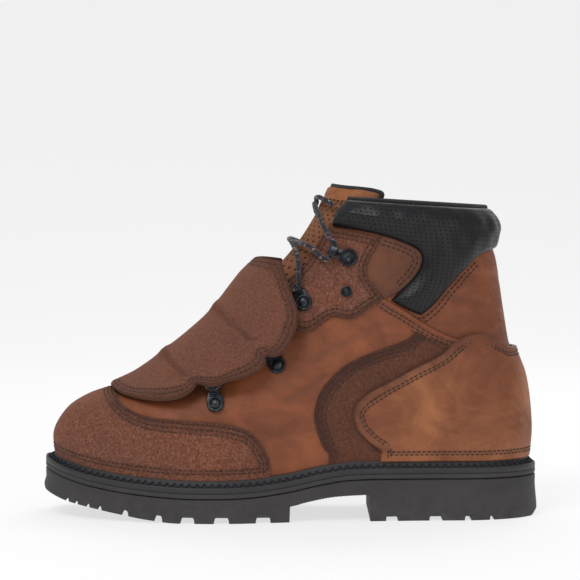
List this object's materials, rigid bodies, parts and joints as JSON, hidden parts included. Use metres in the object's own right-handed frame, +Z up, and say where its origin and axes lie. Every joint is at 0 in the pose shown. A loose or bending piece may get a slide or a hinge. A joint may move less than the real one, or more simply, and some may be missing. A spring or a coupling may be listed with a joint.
{
  "type": "composite toe work boot",
  "caption": "Left lace-up work boot with a composite toe cap, a scalloped instep flap, a padded collar, a storm welt and a lugged rubber sole with a heel.",
  "frame": {"origin": "centre of the boot's plan outline, on the floor", "axes": "+X from toe to heel, +Y towards the wearer's other foot (inner side), +Z up"},
  "size_m": [0.3076, 0.1163, 0.2042],
  "materials": {
    "leather": "smooth oiled grain",
    "suede": "rough nap",
    "rubber": "matte moulded",
    "welt_rubber": "satin moulded",
    "black_pad": "semi-gloss, perforated",
    "lining": "matte",
    "black_metal": "black, semi-gloss",
    "lace_cord": "braided, flecked"
  },
  "bodies": {
    "root": {"collar_pad": "black_pad", "counter": "leather", "eyestay_inner": "suede", "eyestay_outer": "suede", "hook_inner": "black_metal", "hook_outer": "black_metal", "insole": "lining", "lace": "lace_cord", "met_guard": "suede", "midsole": "rubber", "outsole": "rubber", "ring_1_inner": "black_metal", "ring_1_outer": "black_metal", "ring_2_inner": "black_metal", "ring_2_outer": "black_metal", "ring_3_inner": "black_metal", "ring_3_outer": "black_metal", "strap_inner": "suede", "strap_outer": "suede", "stud_inner": "black_metal", "stud_outer": "black_metal", "toe_cap": "suede", "tongue": "leather", "upper": "leather", "welt": "welt_rubber"}
  },
  "joints": []
}
